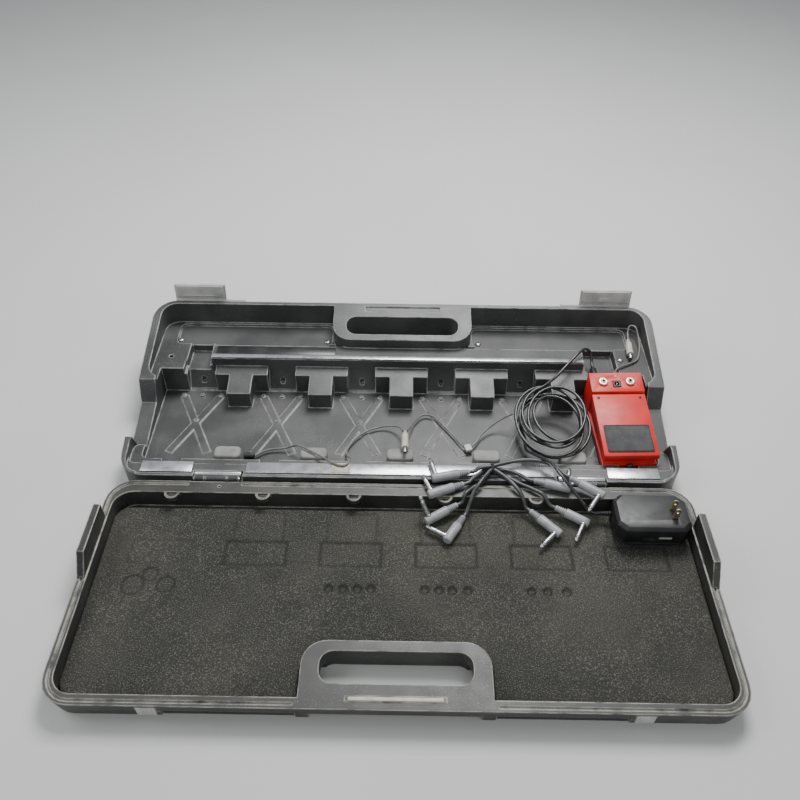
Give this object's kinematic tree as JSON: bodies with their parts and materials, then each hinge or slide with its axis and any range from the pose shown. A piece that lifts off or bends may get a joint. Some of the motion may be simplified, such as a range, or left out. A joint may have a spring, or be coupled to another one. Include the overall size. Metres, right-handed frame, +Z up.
{
  "type": "pedalboard",
  "caption": "Hinged moulded carrying case for effect pedals, open flat: sloped tray with bays and handle, foam-lined lid, power pedal, wall adapter and leads.",
  "frame": {"origin": "middle of the open case's outer box, on the surface it lies on", "axes": "+X to the player's right, across the six bays; +Y away from the player, from the lid to the tray's handle; +Z up"},
  "size_m": [0.704, 0.5806, 0.1089],
  "materials": {
    "shell": "semi-matt grey moulded case plastic, rubbed lighter along its rims and ledges",
    "lid": "darker olive-grey moulded lid plastic, dusty and rubbed at the rim",
    "foam": "dark grey-olive foam sheet, speckled, pressed where pedals have lain",
    "silver": "bright brushed silver trim",
    "plate": "dark plate, lettering left out",
    "latch": "light grey latch plastic",
    "stop": "light grey rubber",
    "red": "satin red casing",
    "rubber": "black rubber foot pad with fine ribs",
    "black": "black plastic",
    "brass": "plain brass contact blades",
    "jack": "pale metal jack nuts",
    "steel": "plain steel",
    "cream": "cream moulded plugs",
    "lead": "dark grey soft cord sheath",
    "plug": "light grey moulded right-angle plugs with metal tips",
    "thin": "thin grey cord sheath"
  },
  "bodies": {
    "base": {"base_shell": "shell", "label_plate": "plate", "trim_strip": "silver", "rail_strip_left": "silver", "rail_strip_middle": "silver", "rail_strip_right": "silver", "hinge_cover_left": "silver", "hinge_cover_right": "silver", "hinge_pin_left": "steel", "hinge_pin_right": "steel", "pedal_stop_1": "stop", "pedal_stop_2": "stop", "pedal_stop_3": "stop", "pedal_stop_4": "stop", "pedal_stop_5": "stop", "latch_bracket_left": "latch", "latch_bracket_right": "latch", "unit_case": "red", "unit_base_plate": "black", "treadle_spring": "steel", "jack_left": "jack", "jack_right": "jack", "dc_socket": "black", "patch_plug_1a": "plug", "patch_lead_1": "lead", "adapter_lead_run": "black", "adapter_lead_coil": "black", "adapter_lead_tail": "black", "adapter_plug": "black", "dc_lead_left": "thin", "dc_lead_middle": "thin", "dc_lead_right": "thin", "dc_plug_middle": "cream", "dc_plug_right": "cream", "dc_plug_left": "black"},
    "lid": {"lid_shell": "lid", "foam_pad": "foam", "lid_catch_left": "latch", "lid_catch_right": "latch", "patch_lead_2": "lead", "patch_lead_3": "lead", "patch_lead_4": "lead", "patch_plug_2a": "plug", "patch_plug_3a": "plug", "patch_plug_4a": "plug", "patch_plug_1b": "plug", "patch_plug_2b": "plug", "patch_plug_3b": "plug", "patch_plug_4b": "plug"},
    "latch_left": {"latch_left": "latch"},
    "latch_right": {"latch_right": "latch"},
    "treadle": {"treadle": "red", "treadle_pad": "rubber"},
    "thumbscrew": {"thumbscrew": "black"},
    "adapter": {"adapter_case": "black", "adapter_cover": "black", "adapter_blade_1": "brass", "adapter_blade_2": "brass", "adapter_strain_relief": "black"}
  },
  "joints": [
    {"name": "lid_hinge", "type": "hinge", "parent": "base", "child": "lid", "pos_m": [0, -0.00209, 0.029], "axis": [-1, 0, 0], "range_deg": [0, 168.4], "deforming": ["patch_lead_1", "patch_lead_2", "patch_lead_3", "patch_lead_4", "patch_plug_1a", "patch_plug_1b", "patch_plug_2a", "patch_plug_2b", "patch_plug_3a", "patch_plug_3b", "patch_plug_4a", "patch_plug_4b", "adapter_lead_run"]},
    {"name": "latch_left_swing", "type": "hinge", "parent": "base", "child": "latch_left", "pos_m": [-0.288, 0.28363, 0.084], "axis": [-1, 0, 0], "range_deg": [0, 155]},
    {"name": "latch_right_swing", "type": "hinge", "parent": "base", "child": "latch_right", "pos_m": [0.288, 0.28363, 0.084], "axis": [-1, 0, 0], "range_deg": [0, 155]},
    {"name": "treadle_press", "type": "hinge", "parent": "base", "child": "treadle", "pos_m": [0.28756, 0.13185, 0.048], "axis": [0.9993, 0.0366, 0], "range_deg": [0, 3], "stiffness_Nm_per_rad": 8, "springref_deg": -1.72, "deforming": ["treadle_spring"]},
    {"name": "thumbscrew_turn", "type": "hinge", "parent": "base", "child": "thumbscrew", "pos_m": [0.29111, 0.03492, 0.0205], "axis": [0.0366, -0.9993, 0], "continuous": true},
    {"name": "adapter_slide", "type": "slide", "parent": "lid", "child": "adapter", "axis": [-0.984, -0.178, 0], "range_m": [0, 0.245]}
  ],
  "couplings": [
    {"joint": "adapter_slide", "follows": "lid_hinge", "m_per_rad": 0.083}
  ]
}
